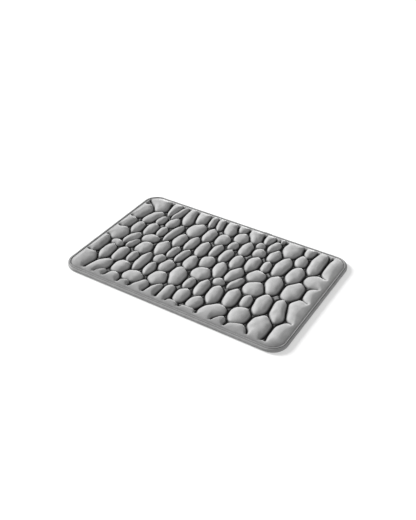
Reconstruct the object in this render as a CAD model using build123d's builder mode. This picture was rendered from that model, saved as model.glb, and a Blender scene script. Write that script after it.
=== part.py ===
from build123d import *
import os

# Bath mat of embossed memory foam, in millimetres.
# Origin: on the floor, under the middle of the mat.
# +X runs along the long side, +Y along the short side and +Z up.
# "Inset" is a distance measured inwards from the mat's outer edge, seen from above.

# ---- Driving dimensions ----
mat_length = 700.0
mat_width = 450.0
mat_height = 20.0
corner_radius = 46.0

# Edge binding: one woven tape folded round the edge of the layers
tape_thickness = 1.0
tape_height = 12.2
tape_top_leg = 10.2
tape_bottom_leg = 12.0
tape_top_round = 5.5
tape_bottom_round = 4.0

# Layers under and over the foam
cloth_thickness = 1.0
cover_thickness = 2.0
pressed_foam_top = 9.2
layer_inset = 3.8
shoulder_round = 8.0
shoulder_gap = 0.3

# Twin rows of stitching, sewn through from top to bottom
stitch_insets = (4.2, 8.4)
thread_diameter = 0.5
groove_width = 0.8
groove_depth = 0.6

# Grip dots under the backing cloth, in straight rows with more rows between them
dot_radius = 3.5
dot_pitch = 40.0
dot_columns = 16
dot_rows = 10

# ---- Worked-out sizes ----
backing_bottom = tape_thickness
backing_top = backing_bottom + cloth_thickness
tape_inner_top = tape_height - tape_thickness
cover_shoulder_inset = tape_top_leg + shoulder_gap
foam_shoulder_inset = cover_shoulder_inset + cover_thickness
foam_top = mat_height - cover_thickness
flange_round = tape_inner_top - pressed_foam_top - 0.1


def outline(inset, level):
    """The mat's rounded rectangle, set in from its edge, as a face at one level."""
    with BuildSketch(Plane.XY.offset(level)) as face:
        RectangleRounded(mat_length - 2 * inset, mat_width - 2 * inset, corner_radius - inset)
    return face.sketch


def slab(inset, bottom, top, mode=Mode.ADD):
    """Extrude the outline between two levels, into the part being built."""
    extrude(outline(inset, bottom), amount=top - bottom, mode=mode)


def groove(inset, bottom, top):
    """Cut a narrow channel that follows the mat's edge."""
    with BuildSketch(Plane.XY.offset(bottom)) as channel:
        add(outline(inset - groove_width / 2, 0))
        add(outline(inset + groove_width / 2, 0), mode=Mode.SUBTRACT)
    extrude(channel.sketch, amount=top - bottom, mode=Mode.SUBTRACT)


def thread_row(inset, level):
    """Sweep one thread round the mat at an inset, with its centre at a level."""
    path = outline(inset, level).faces()[0].outer_wire()
    start = Plane(origin=path @ 0, z_dir=path % 0)
    with BuildSketch(start) as section:
        Circle(thread_diameter / 2)
    sweep(section.sketch, path=path)


# Foam core: a thick block, pressed thin where the binding grips its border
with BuildPart() as foam_core:
    slab(foam_shoulder_inset, backing_top, foam_top)
    fillet(foam_core.edges().group_by(Axis.Z)[-1], shoulder_round - cover_thickness)
    slab(layer_inset, backing_top, pressed_foam_top)
foam_core.part.label = "foam_core"

# The raised middle of the mat, with its shoulder rolled over all round
with BuildPart() as raised_middle:
    slab(cover_shoulder_inset, pressed_foam_top, mat_height)
    fillet(raised_middle.edges().group_by(Axis.Z)[-1], shoulder_round)

# Plush cover: a pile cloth moulded over the foam, with a flat flange under the binding
with BuildPart() as plush_cover:
    slab(layer_inset, pressed_foam_top, tape_inner_top)
    fillet(plush_cover.edges().group_by(Axis.Z)[-1], flange_round)
    add(raised_middle.part)
    add(foam_core.part, mode=Mode.SUBTRACT)
plush_cover.part.label = "plush_cover"

# Backing cloth: a flat sheet under the foam, held by the binding
with BuildPart() as backing_cloth:
    slab(tape_bottom_round, backing_bottom, backing_top)
backing_cloth.part.label = "backing_cloth"

# Grip dots: soft plastic printed on the backing, level with the binding's underside
with BuildPart() as grip_dots:
    with BuildSketch(Plane.XY):
        with GridLocations(dot_pitch, dot_pitch, dot_columns, dot_rows):
            Circle(dot_radius)
        with GridLocations(dot_pitch, dot_pitch, dot_columns - 1, dot_rows - 1):
            Circle(dot_radius)
    extrude(amount=backing_bottom)
grip_dots.part.label = "grip_dots"

# The hollow inside the folded tape, which the layers fill
with BuildPart() as tape_hollow:
    slab(tape_thickness, tape_thickness, tape_inner_top)
    fillet(tape_hollow.edges().group_by(Axis.Z)[-1], tape_top_round - tape_thickness)
    fillet(tape_hollow.edges().group_by(Axis.Z)[0], tape_bottom_round - tape_thickness)

# Edge binding: the tape, open inwards, with a channel for each row of stitches
with BuildPart() as edge_binding:
    slab(0, 0, tape_height)
    fillet(edge_binding.edges().group_by(Axis.Z)[-1], tape_top_round)
    fillet(edge_binding.edges().group_by(Axis.Z)[0], tape_bottom_round)
    add(tape_hollow.part, mode=Mode.SUBTRACT)
    slab(tape_top_leg, tape_inner_top - tape_thickness, tape_height, mode=Mode.SUBTRACT)
    slab(tape_bottom_leg, 0, 2 * tape_thickness, mode=Mode.SUBTRACT)
    for stitch_inset in stitch_insets:
        groove(stitch_inset, tape_height - groove_depth, tape_height)
        groove(stitch_inset, 0, groove_depth)
edge_binding.part.label = "edge_binding"

# Top stitching: two threads that lie in the upper channels
with BuildPart() as top_stitching:
    for stitch_inset in stitch_insets:
        thread_row(stitch_inset, tape_height - groove_depth + thread_diameter / 2)
top_stitching.part.label = "top_stitching"

# Bottom stitching: the same two rows on the underside
with BuildPart() as bottom_stitching:
    for stitch_inset in stitch_insets:
        thread_row(stitch_inset, groove_depth - thread_diameter / 2)
bottom_stitching.part.label = "bottom_stitching"

# ---- One STEP file for each piece ----
os.makedirs("parts", exist_ok=True)
export_step(foam_core.part, "parts/foam_core.step")
export_step(plush_cover.part, "parts/plush_cover.step")
export_step(backing_cloth.part, "parts/backing_cloth.step")
export_step(grip_dots.part, "parts/grip_dots.step")
export_step(edge_binding.part, "parts/edge_binding.step")
export_step(top_stitching.part, "parts/top_stitching.step")
export_step(bottom_stitching.part, "parts/bottom_stitching.step")
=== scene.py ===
import logging
import math
from dataclasses import dataclass, field
from enum import Enum

import bpy
import numpy as np
from mathutils import Matrix, Vector
from mathutils.geometry import delaunay_2d_cdt


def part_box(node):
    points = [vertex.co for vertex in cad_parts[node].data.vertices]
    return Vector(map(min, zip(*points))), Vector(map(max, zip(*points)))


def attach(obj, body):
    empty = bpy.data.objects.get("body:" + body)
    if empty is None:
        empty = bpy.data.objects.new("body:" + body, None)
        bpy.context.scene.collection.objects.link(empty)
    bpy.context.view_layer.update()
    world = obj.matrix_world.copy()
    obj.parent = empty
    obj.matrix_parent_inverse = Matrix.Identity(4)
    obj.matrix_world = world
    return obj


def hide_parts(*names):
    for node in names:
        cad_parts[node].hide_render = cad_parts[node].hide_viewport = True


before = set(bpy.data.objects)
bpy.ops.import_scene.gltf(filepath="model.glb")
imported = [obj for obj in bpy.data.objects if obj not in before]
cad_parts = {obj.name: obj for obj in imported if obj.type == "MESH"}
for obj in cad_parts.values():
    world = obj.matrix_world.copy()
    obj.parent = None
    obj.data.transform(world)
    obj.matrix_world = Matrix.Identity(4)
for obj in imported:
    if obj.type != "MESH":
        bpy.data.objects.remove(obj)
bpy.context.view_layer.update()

LOG = logging.getLogger("bath_mat")
MM = 0.001
TINY = 1e-9
BODY = "root"


# ---------------------------------------------------------------------------
# The pebble pattern
# ---------------------------------------------------------------------------

# One row for each embossed pebble, seen from above, in millimetres and degrees:
# centre x, centre y, half length, half width, and how far its long axis leans to the right.
BACK_PEBBLES = (
    (-286, 181, 44, 27, -42), (-233, 180, 38, 16, -5), (-206, 166, 39, 13, 10), (-168, 166, 43, 20, -16),
    (-131, 183, 34, 22, -14), (-93, 183, 30, 12, -12), (-66, 182, 32, 12, -20), (-26, 180, 36, 20, -22),
    (6, 201, 24, 17, -25), (56, 186, 36, 22, -30), (100, 189, 24, 16, -3), (138, 208, 12, 16, 0),
    (182, 178, 39, 30, -10), (231, 193, 22, 16, -3), (271, 156, 55, 22, -3), (325, 158, 54, 29, 0),
)
SECOND_PEBBLES = (
    (-314, 124, 44, 24, 6), (-268, 112, 42, 20, 20), (-235, 108, 23, 16, 8), (-197, 115, 29, 18, 6),
    (-113, 121, 37, 26, 5), (-65, 119, 36, 20, -3), (-19, 119, 29, 23, -5), (26, 156, 26, 25, 0),
    (23, 109, 20, 16, 15), (62, 117, 36, 19, -4), (92, 152, 13, 17, 0), (105, 118, 20, 21, 0),
    (129, 167, 28, 18, 12), (150, 128, 31, 20, 3), (227, 145, 28, 20, -15),
)
THIRD_PEBBLES = (
    (-319, 55, 34, 22, -3), (-277, 43, 32, 19, -5), (-235, 54, 35, 19, -2), (-199, 60, 27, 14, 0),
    (-163, 70, 50, 14, 6), (-127, 50, 34, 19, 0), (-88, 55, 36, 17, 3), (-46, 47, 39, 18, -7),
    (-8, 63, 38, 14.5, 3), (29, 56, 36, 17, 0), (70, 47, 32, 19, -7), (114, 62, 38, 20, 0),
    (153, 70, 28, 15, -4), (191, 95, 49, 22, 3), (241, 78, 39, 24, -3), (308, 77, 27, 40, 0),
)
MIDDLE_PEBBLES = (
    (-308, -8, 34, 30, -12), (-257, -12, 34, 17, 23), (-237, -37, 28, 12, 25), (-208, 13, 28, 19, 72),
    (-197, -35, 28, 26, 0), (-150, -9, 36, 22, -8), (-111, -9, 30, 14, 6), (-78, -10, 35, 13.5, 8),
    (-40, -24, 34, 20, -10), (-2, 2, 29, 23, 0), (47, -10, 38, 20, -17), (94, -8, 38, 20, 13),
    (150, 17, 28, 26, 20), (209, 7, 42, 25, -12), (268, 10, 43, 28, 5), (323, 18, 34, 27, -10),
)
FIFTH_PEBBLES = (
    (-322, -80, 48, 19, -6), (-278, -56, 13, 22, 0), (-125, -56, 20, 20, 0), (-91, -74, 28, 23, 0),
    (12, -51, 28, 29, 0), (75, -57, 14, 19, 0), (118, -40, 31, 14, 22), (171, -33, 31, 32, 0),
    (221, -80, 44, 24, -8), (273, -82, 49, 23, -16), (317, -60, 50, 34, -22),
)
SIXTH_PEBBLES = (
    (-279, -101, 39, 20, -4), (-238, -95, 38, 19, -3), (-199, -88, 27, 14, 0), (-162, -92, 49, 17, -2),
    (-123, -108, 31, 16, -8), (-39, -96, 43, 25, -14), (-79, -131, 29, 29, 0), (8, -105, 26, 15, 0),
    (48, -104, 38, 18, -5), (92, -112, 40, 21, -12), (139, -99, 41, 21, -5), (180, -91, 27, 17, -6),
)
FRONT_PEBBLES = (
    (-316, -167, 44, 34, 0), (-254, -171, 44, 23, 30), (-199, -145, 29, 27, 0), (-144, -163, 23, 34, 0),
    (-103, -190, 34, 21, 18), (-60, -187, 40, 17, 15), (-23, -172, 37, 19, -6), (19, -161, 31, 22, -3),
    (65, -168, 28, 22, 8), (123, -175, 42, 29, 45), (191, -151, 35, 29, -4), (257, -162, 45, 31, -5),
    (318, -160, 47, 28, 0),
)
RIM_PEBBLES = (
    (-238, -201, 30, 14, 50), (-193, -198, 27, 24, 0), (-151, -203, 24, 13, 45), (14, -209, 16, 26, 0),
    (67, -211, 18, 34, 0), (154, -201, 27, 20, 30), (212, -206, 28, 36, 0),
)
PEBBLE_ROWS = (
    BACK_PEBBLES + SECOND_PEBBLES + THIRD_PEBBLES + MIDDLE_PEBBLES
    + FIFTH_PEBBLES + SIXTH_PEBBLES + FRONT_PEBBLES + RIM_PEBBLES
)


# ---------------------------------------------------------------------------
# Small mathematics
# ---------------------------------------------------------------------------

def smooth_step(low: float, high: float, value: np.ndarray) -> np.ndarray:
    """Ease from 0 to 1 between two values.

    Args:
        low: the value where the result is still 0.
        high: the value where the result has reached 1.
        value: the values to ease.

    Returns:
        The eased values, each from 0 to 1.
    """
    share = np.clip((value - low) / (high - low), 0.0, 1.0)
    return share * share * (3.0 - 2.0 * share)


def soft_min(first: np.ndarray, second: np.ndarray, width: float) -> np.ndarray:
    """Take the lower of two heights, with a rounded change-over.

    Args:
        first: heights in metres.
        second: heights in metres.
        width: how wide the rounding is, in metres.

    Returns:
        The rounded minimum.
    """
    return -width * np.logaddexp(-first / width, -second / width)


def waves(points: np.ndarray, wavelength: float, seed: int) -> np.ndarray:
    """Give a smooth uneven field, as a sum of plane waves in seeded directions.

    Args:
        points: places, as an (n, 2) array in metres.
        wavelength: the typical distance between two humps, in metres.
        seed: picks the directions and phases.

    Returns:
        One value a point, roughly from -1 to 1.
    """
    draw = np.random.default_rng(seed)
    total = np.zeros(len(points))
    count = 7
    for _ in range(count):
        angle = draw.uniform(0.0, math.tau)
        turns = math.tau / (wavelength * draw.uniform(0.7, 1.5))
        phase = draw.uniform(0.0, math.tau)
        total += np.sin(turns * (points @ np.array([math.cos(angle), math.sin(angle)])) + phase)
    return total / math.sqrt(2.0 * count)


def distance_to_loop(points: np.ndarray, loop: np.ndarray) -> np.ndarray:
    """Measure how far points are from a closed line.

    Args:
        points: places, as an (n, 2) array.
        loop: the line's corners, as an (m, 2) array.

    Returns:
        The distance of each point to the nearest place on the line.
    """
    run = np.roll(loop, -1, axis=0) - loop
    away = points[:, None, :] - loop[None, :, :]
    share = np.clip((away * run).sum(-1) / (run * run).sum(-1), 0.0, 1.0)
    gap = away - share[..., None] * run
    return np.sqrt((gap * gap).sum(-1)).min(axis=1)


# ---------------------------------------------------------------------------
# The mat's plan and levels
# ---------------------------------------------------------------------------

@dataclass(frozen=True)
class Stations:
    """Places along the mat's outer edge, with the way out and the distance travelled."""

    edge: np.ndarray
    outward: np.ndarray
    travelled: np.ndarray

    def ring(self, inset: float) -> np.ndarray:
        """Give the loop that runs at a distance inside the edge.

        Args:
            inset: the distance, in metres.

        Returns:
            An (n, 2) array that turns counter-clockwise.
        """
        return self.edge - self.outward * inset


@dataclass(frozen=True)
class MatPlan:
    """The mat's outline and levels, in metres, as the CAD frame holds them."""

    half_length: float
    half_width: float
    tape_height: float
    top: float
    corner_radius: float = 46 * MM
    tape_thickness: float = 1.0 * MM
    tape_top_leg: float = 10.2 * MM
    tape_bottom_leg: float = 12.0 * MM
    layer_inset: float = 3.8 * MM
    foam_drop: float = 3.2 * MM
    foam_bottom: float = 2.0 * MM
    stitch_insets: tuple[float, float] = (4.2 * MM, 8.4 * MM)

    @classmethod
    def from_frame(cls) -> "MatPlan":
        """Read the outline from the binding's box and the height from the cover's box.

        Returns:
            The plan.
        """
        low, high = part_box("edge_binding")
        cover_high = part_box("plush_cover")[1]
        return cls((high[0] - low[0]) / 2, (high[1] - low[1]) / 2, high[2], cover_high[2])

    @property
    def corner_centre(self) -> np.ndarray:
        """The middle of the back right corner's arc."""
        return np.array([self.half_length, self.half_width]) - self.corner_radius

    @property
    def perimeter(self) -> float:
        """The length of the outer edge."""
        straight = 4 * (self.half_length + self.half_width - 2 * self.corner_radius)
        return straight + math.tau * self.corner_radius

    def cut(self, inset: float) -> tuple[float, float]:
        """Give the length and width of a cloth whose edge lies at an inset."""
        return (2 * (self.half_length - inset), 2 * (self.half_width - inset))

    def inset(self, points: np.ndarray) -> np.ndarray:
        """Measure how far points lie inside the outer edge.

        Args:
            points: places, as an (n, 2) array.

        Returns:
            The distance to the edge, positive inside.
        """
        reach = np.abs(points) - self.corner_centre
        outside = np.hypot(np.maximum(reach[:, 0], 0.0), np.maximum(reach[:, 1], 0.0))
        inside = np.minimum(np.maximum(reach[:, 0], reach[:, 1]), 0.0)
        return self.corner_radius - outside - inside

    def outward(self, points: np.ndarray) -> np.ndarray:
        """Give the way to the nearest place on the outer edge.

        Args:
            points: places near the edge, as an (n, 2) array.

        Returns:
            Unit vectors, as an (n, 2) array.
        """
        reach = np.abs(points) - self.corner_centre
        way = np.maximum(reach, 0.0) * np.sign(points)
        return way / np.maximum(np.hypot(way[:, 0], way[:, 1]), TINY)[:, None]

    def stations(self, travelled: np.ndarray) -> Stations:
        """Place stations on the outer edge.

        Args:
            travelled: distances along the edge, counter-clockwise from the middle of the front.

        Returns:
            The stations.
        """
        radius = self.corner_radius
        flat_x, flat_y = self.corner_centre
        quarter = radius * math.pi / 2
        legs = (flat_x, quarter, 2 * flat_y, quarter, 2 * flat_x, quarter, 2 * flat_y, quarter, flat_x)
        turns = (0, 1, 0, 1, 0, 1, 0, 1, 0)
        starts = np.concatenate([[0.0], np.cumsum(legs)])
        edge = np.zeros((len(travelled), 2))
        outward = np.zeros((len(travelled), 2))
        for place, distance in enumerate(np.mod(travelled, starts[-1])):
            leg = min(int(np.searchsorted(starts, distance, side="right")) - 1, len(legs) - 1)
            done = distance - starts[leg]
            heading = -math.pi / 2 + math.pi / 2 * sum(turns[:leg])
            if turns[leg]:
                heading += done / radius
            way = np.array([math.cos(heading), math.sin(heading)])
            base = np.where(np.abs(way) < TINY, 0.0, np.sign(way)) * self.corner_centre
            if not turns[leg]:
                ahead = np.array([-way[1], way[0]])
                first = -1.0 if leg else 0.0
                base = base + ahead * (first * abs(ahead @ self.corner_centre) + done)
            edge[place] = base + way * radius
            outward[place] = way
        return Stations(edge, outward, travelled)

    def even_stations(self, spacing: float) -> Stations:
        """Place stations evenly round the whole edge, at about a spacing."""
        count = round(self.perimeter / spacing)
        return self.stations(np.arange(count) * self.perimeter / count)


# ---------------------------------------------------------------------------
# Mesh making
# ---------------------------------------------------------------------------

def raised(loop: np.ndarray, height: np.ndarray | float) -> np.ndarray:
    """Give flat points a height.

    Args:
        loop: an (n, 2) array.
        height: one height, or one a point.

    Returns:
        An (n, 3) array.
    """
    return np.column_stack([loop, np.broadcast_to(height, len(loop))])


class MeshMaker:
    """Gathers points and faces, with values on the points, and makes one smooth object."""

    def __init__(self, name: str) -> None:
        """Start an empty mesh.

        Args:
            name: the piece's name.
        """
        self.name = name
        self.points: list[np.ndarray] = []
        self.faces: list[tuple[int, ...]] = []
        self.values: dict[str, list[np.ndarray]] = {}
        self.count = 0

    def add(self, points: np.ndarray, **values: np.ndarray) -> np.ndarray:
        """Add points.

        Args:
            points: an (n, 3) array in metres.
            values: named numbers or vectors, one a point, kept as mesh attributes.

        Returns:
            The new points' indices.
        """
        self.points.append(points)
        for name, value in values.items():
            self.values.setdefault(name, []).append(np.asarray(value, dtype=float))
        first = self.count
        self.count += len(points)
        return np.arange(first, self.count)

    def band(self, outer: np.ndarray, inner: np.ndarray) -> None:
        """Join two closed loops of the same length with quads.

        Args:
            outer: the loop on the right of the way of travel, seen from the quads' front.
            inner: the loop on its left.
        """
        for quad in zip(outer, np.roll(outer, -1), np.roll(inner, -1), inner):
            self.faces.append(tuple(int(corner) for corner in quad))

    def fan(self, loop: np.ndarray, centre: int) -> None:
        """Close a loop with triangles round one point."""
        for first, second in zip(loop, np.roll(loop, -1)):
            self.faces.append((int(first), int(second), int(centre)))

    def cap(self, loop: np.ndarray) -> None:
        """Close a flat loop with one face."""
        self.faces.append(tuple(int(corner) for corner in loop))

    def skirt(self, stations: Stations, profile: list[tuple[float, float]], inner: np.ndarray) -> np.ndarray:
        """Run bands round the mat, one ring after another.

        Args:
            stations: places along the mat's edge.
            profile: each ring's inset and height.
            inner: the loop that the first band starts from.

        Returns:
            The last ring's indices.
        """
        for inset, height in profile:
            outer = self.add(raised(stations.ring(inset), height))
            self.band(outer, inner)
            inner = outer
        return inner

    def build(self) -> bpy.types.Object:
        """Make the object.

        Returns:
            The new object, at the origin, shaded smooth.
        """
        mesh = bpy.data.meshes.new(self.name)
        mesh.from_pydata(np.concatenate(self.points).tolist(), [], self.faces)
        for name, parts in self.values.items():
            value = np.concatenate(parts)
            kind = "FLOAT_VECTOR" if value.ndim == 2 else "FLOAT"
            layer = mesh.attributes.new(name, kind, "POINT")
            layer.data.foreach_set("vector" if value.ndim == 2 else "value", value.ravel())
        mesh.shade_smooth()
        mesh.validate()
        piece = bpy.data.objects.new(self.name, mesh)
        bpy.context.scene.collection.objects.link(piece)
        return piece


# ---------------------------------------------------------------------------
# The embossed relief
# ---------------------------------------------------------------------------

@dataclass(frozen=True)
class ReliefDetail:
    """How finely a relief is meshed."""

    outline_step: float
    shoulder_offsets: tuple[float, ...]
    crown_shares: tuple[float, ...]
    floor_step: float


FINE_RELIEF = ReliefDetail(
    outline_step=2.7 * MM,
    shoulder_offsets=(0.3 * MM, 0.9 * MM, 1.9 * MM, 3.3 * MM, 5.2 * MM, 7.6 * MM),
    crown_shares=(0.74, 0.48, 0.24),
    floor_step=2.6 * MM,
)
COARSE_RELIEF = ReliefDetail(
    outline_step=3.6 * MM,
    shoulder_offsets=(0.5 * MM, 1.6 * MM, 3.4 * MM, 6.5 * MM),
    crown_shares=(0.66, 0.33),
    floor_step=3.8 * MM,
)


@dataclass(frozen=True)
class ChannelEnds:
    """Where the channels run out, as distances inside the mat's edge.

    Each change comes in over a span, given as shares of the mat's half length or half width.
    """

    usual: float = 15.5 * MM
    more_at_right: float = 3.5 * MM
    right_span: tuple[float, float] = (0.78, 0.94)
    less_at_left: float = 3.0 * MM
    left_span: tuple[float, float] = (0.84, 0.94)
    less_at_back: float = 4.0 * MM
    back_span: tuple[float, float] = (0.70, 0.86)
    unevenness: float = 1.2 * MM
    wavelength: float = 60 * MM
    fade: float = 10 * MM


@dataclass
class PebbleRelief:
    """The bed of nested pebbles that is moulded into the foam and its cover.

    Each pebble is a superellipse that gives way to its neighbours, so that a channel is left
    between them, wide and deep between two pebbles that lie side by side along the mat, and
    narrow and shallow between two rows. Towards the mat's edge the channels run out and
    everything rolls down to the binding.
    """

    plan: MatPlan
    side_channel: float = 5.0 * MM
    row_channel: float = 1.8 * MM
    facing_span: tuple[float, float] = (0.15, 0.95)
    corner_softness: float = 4.0 * MM
    neighbour_reach: float = 12 * MM
    fewest_points: int = 20
    halvings: int = 26
    smoothing: int = 3
    growth: float = 3.4 * MM
    squareness: float = 2.1
    border: float = 12.0 * MM
    border_lip: float = 0.9 * MM
    stretch_start: float = 28.0 * MM
    stretch_share: float = 0.85
    channel_floor: float = 5.2 * MM
    channel_ends: ChannelEnds = ChannelEnds()
    row_rise: float = 5.2 * MM
    row_fade: tuple[float, float] = (0.8 * MM, 3.0 * MM)
    junction_rise: float = 4.5 * MM
    junction_fade: tuple[float, float] = (2.6 * MM, 6.5 * MM)
    shoulder_drop: float = 2.7 * MM
    shoulder_width: float = 15 * MM
    shoulder_share: float = 0.9
    wall_weight: float = 0.55
    dome_power: float = 2.6
    crown_rise: float = 2.4 * MM
    crown_lifts: tuple[float, float] = (-0.35 * MM, 0.15 * MM)
    crown_unevenness: float = 0.3 * MM
    crown_wavelength: float = 28 * MM
    rim_drop: float = 2.8 * MM
    change_over: float = 0.5 * MM
    roll_start: float = 11.3 * MM
    roll_rise: float = 10.2 * MM
    roll_width: float = 26.0 * MM
    roll_wider_at_right: float = 0.3
    roll_right_span: tuple[float, float] = (0.7, 0.95)
    roll_power: float = 1.9
    thinnest_foam: float = 0.4 * MM
    search_share: float = 1.6
    crowding: float = 1.3
    free_shake: float = 0.25
    free_room: float = 0.35
    free_inset: float = 3.2 * MM
    free_rings: tuple[float, float] = (0.4 * MM, 1.8 * MM)
    rows: np.ndarray = field(init=False)
    lifts: np.ndarray = field(init=False)

    def __post_init__(self) -> None:
        """Turn the listed rows into metres and radians, and draw each pebble's lift."""
        table = np.array(PEBBLE_ROWS, dtype=float)
        table[:, :4] *= MM
        table[:, 4] = np.radians(table[:, 4])
        self.rows = table
        self.lifts = np.random.default_rng(5).uniform(*self.crown_lifts, len(table))

    def _stretched(self, points: np.ndarray) -> np.ndarray:
        """Move points near the edge inward, so that the pebbles there run straight out to it."""
        shift = np.maximum(self.stretch_start - self.plan.inset(points), 0.0) * self.stretch_share
        return points - self.plan.outward(points) * shift[:, None]

    def _reach(self, points: np.ndarray, pebble: int) -> np.ndarray:
        """Measure how far points lie outside one pebble's own superellipse, along its rays.

        Args:
            points: places, as an (n, 2) array.
            pebble: its row.

        Returns:
            The distances, negative inside.
        """
        x, y, half_length, half_width, lean = self.rows[pebble]
        away = points - np.array([x, y])
        along = away @ np.array([math.sin(lean), math.cos(lean)])
        across = away @ np.array([math.cos(lean), -math.sin(lean)])
        power = self.squareness
        size = (np.abs(along / half_length) ** power + np.abs(across / half_width) ** power) ** (1 / power)
        return np.hypot(away[:, 0], away[:, 1]) * (1.0 - 1.0 / np.maximum(size, TINY))

    def _facing(self, points: np.ndarray, pebble: int) -> np.ndarray:
        """Tell which way a pebble's wall faces beside points.

        Args:
            points: places near the pebble, as an (n, 2) array.
            pebble: its row.

        Returns:
            1 where the wall faces along the mat, 0 where it faces across it, and shares between.
        """
        x, y, half_length, half_width, lean = self.rows[pebble]
        away = points - np.array([x, y])
        ahead = np.array([math.sin(lean), math.cos(lean)])
        aside = np.array([math.cos(lean), -math.sin(lean)])
        way = np.outer(away @ ahead / half_length**2, ahead) + np.outer(away @ aside / half_width**2, aside)
        share = np.abs(way[:, 0]) / np.maximum(np.hypot(way[:, 0], way[:, 1]), TINY)
        return smooth_step(*self.facing_span, share)

    def _neighbours(self, pebble: int) -> list[int]:
        """List the pebbles near enough to press against one.

        Args:
            pebble: its row.

        Returns:
            The others' rows.
        """
        apart = np.hypot(*(self.rows[:, :2] - self.rows[pebble, :2]).T)
        sizes = self.rows[:, 2:4].max(axis=1)
        near = apart < sizes + sizes[pebble] + self.neighbour_reach
        return [other for other in np.flatnonzero(near) if other != pebble]

    def outline(self, pebble: int, step: float) -> np.ndarray:
        """Find where a pebble's wall stands, by halving the span on each ray from its centre.

        Args:
            pebble: its row.
            step: about how far apart the outline's points are.

        Returns:
            The outline, counter-clockwise, as an (n, 2) array.
        """
        x, y, half_length, half_width, _ = self.rows[pebble]
        centre = np.array([x, y])
        count = max(self.fewest_points, round(math.pi * (half_length + half_width) / step))
        angles = np.arange(count) * math.tau / count
        rays = np.column_stack([np.cos(angles), np.sin(angles)])
        neighbours = self._neighbours(pebble)
        facing = self._facing(centre + rays * MM, pebble)
        channel = self.row_channel + (self.side_channel - self.row_channel) * facing
        near = np.zeros(count)
        far = np.full(count, half_length + half_width)
        for _ in range(self.halvings):
            middle = (near + far) / 2
            points = centre + rays * middle[:, None]
            edge = self.border - self.plan.inset(points)
            points = self._stretched(points)
            own = self._reach(points, pebble)
            limits = [own - self.growth]
            limits += [own - self._reach(points, other) + channel for other in neighbours]
            pressed = np.logaddexp.reduce(np.array(limits) / self.corner_softness, axis=0)
            inside = np.maximum(pressed * self.corner_softness, edge) < 0.0
            near = np.where(inside, middle, near)
            far = np.where(inside, far, middle)
        radii = (near + far) / 2
        for _ in range(self.smoothing):
            radii = (np.roll(radii, 1) + 2 * radii + np.roll(radii, -1)) / 4
        return centre + rays * radii[:, None]

    def _roll(self, points: np.ndarray) -> np.ndarray:
        """Give the height of the rolled border, which is broader at the right-hand end.

        Args:
            points: places, as an (n, 2) array.

        Returns:
            The heights.
        """
        right = smooth_step(*self.roll_right_span, points[:, 0] / self.plan.half_length)
        inner = self.plan.inset(points) - self.plan.tape_top_leg
        width = self.roll_width * (1.0 + self.roll_wider_at_right * right)
        share = np.clip(inner / width, 0.0, 1.0)
        return self.roll_start + self.roll_rise * (1.0 - (1.0 - share) ** self.roll_power)

    def _channel_share(self, points: np.ndarray) -> np.ndarray:
        """Tell how deep the channels are.

        Args:
            points: places, as an (n, 2) array.

        Returns:
            1 in the middle of the mat and 0 at its border.
        """
        ends = self.channel_ends
        right = smooth_step(*ends.right_span, points[:, 0] / self.plan.half_length)
        left = smooth_step(*ends.left_span, -points[:, 0] / self.plan.half_length)
        back = smooth_step(*ends.back_span, points[:, 1] / self.plan.half_width)
        end = ends.usual + ends.more_at_right * right - ends.less_at_left * left - ends.less_at_back * back
        end = end + ends.unevenness * waves(points, ends.wavelength, 11)
        return smooth_step(0.0, ends.fade, self.plan.inset(points) - end)

    def floor(self, points: np.ndarray, facing: np.ndarray | float,
              clearance: np.ndarray | float = 0.0) -> np.ndarray:
        """Give the height of the channels between the pebbles.

        Args:
            points: places, as an (n, 2) array.
            facing: how far the nearest wall faces along the mat, from 0 to 1.
            clearance: how far each is from the nearest pebble's wall.

        Returns:
            The heights.
        """
        depth = self._channel_share(points)
        level = np.full(len(points), self.plan.top - self.rim_drop)
        rim = soft_min(level, self._roll(points), self.change_over)
        row = self.row_rise * (1.0 - facing) * (1.0 - smooth_step(*self.row_fade, clearance))
        junction = self.junction_rise * smooth_step(*self.junction_fade, clearance)
        pit = self.channel_floor + row + junction
        return rim + (pit - rim) * depth

    def crown(self, points: np.ndarray, share: np.ndarray, wall: np.ndarray, pebble: int,
              girth: float) -> np.ndarray:
        """Give the height of a pebble's skin.

        Args:
            points: places on the pebble, as an (n, 2) array.
            share: how far out each is, 0 at the centre and 1 at the wall.
            wall: the distance of each to the wall.
            pebble: its row.
            girth: the distance from its centre to its wall.

        Returns:
            The heights.
        """
        width = min(self.shoulder_share * girth, self.shoulder_width)
        rounding = 1.0 - np.clip(wall / width, 0.0, 1.0)
        fall = self.wall_weight * rounding**2 + (1.0 - self.wall_weight) * share**self.dome_power
        shoulder = np.sqrt(1.0 - fall)
        level = self.plan.top - self.shoulder_drop + self.lifts[pebble]
        dome = level + self.crown_rise * (1.0 - share**2)
        dome = dome + self.crown_unevenness * waves(points, self.crown_wavelength, 3)
        top = soft_min(dome, self._roll(points), self.change_over)
        base = self.floor(points, self._facing(points, pebble))
        return base + (top - base) * shoulder

    def _lowered(self, height: np.ndarray, drop: float) -> np.ndarray:
        """Lower a surface, but keep it clear of the foam's underside."""
        return np.maximum(height - drop, self.plan.foam_bottom + self.thinnest_foam)

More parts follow.
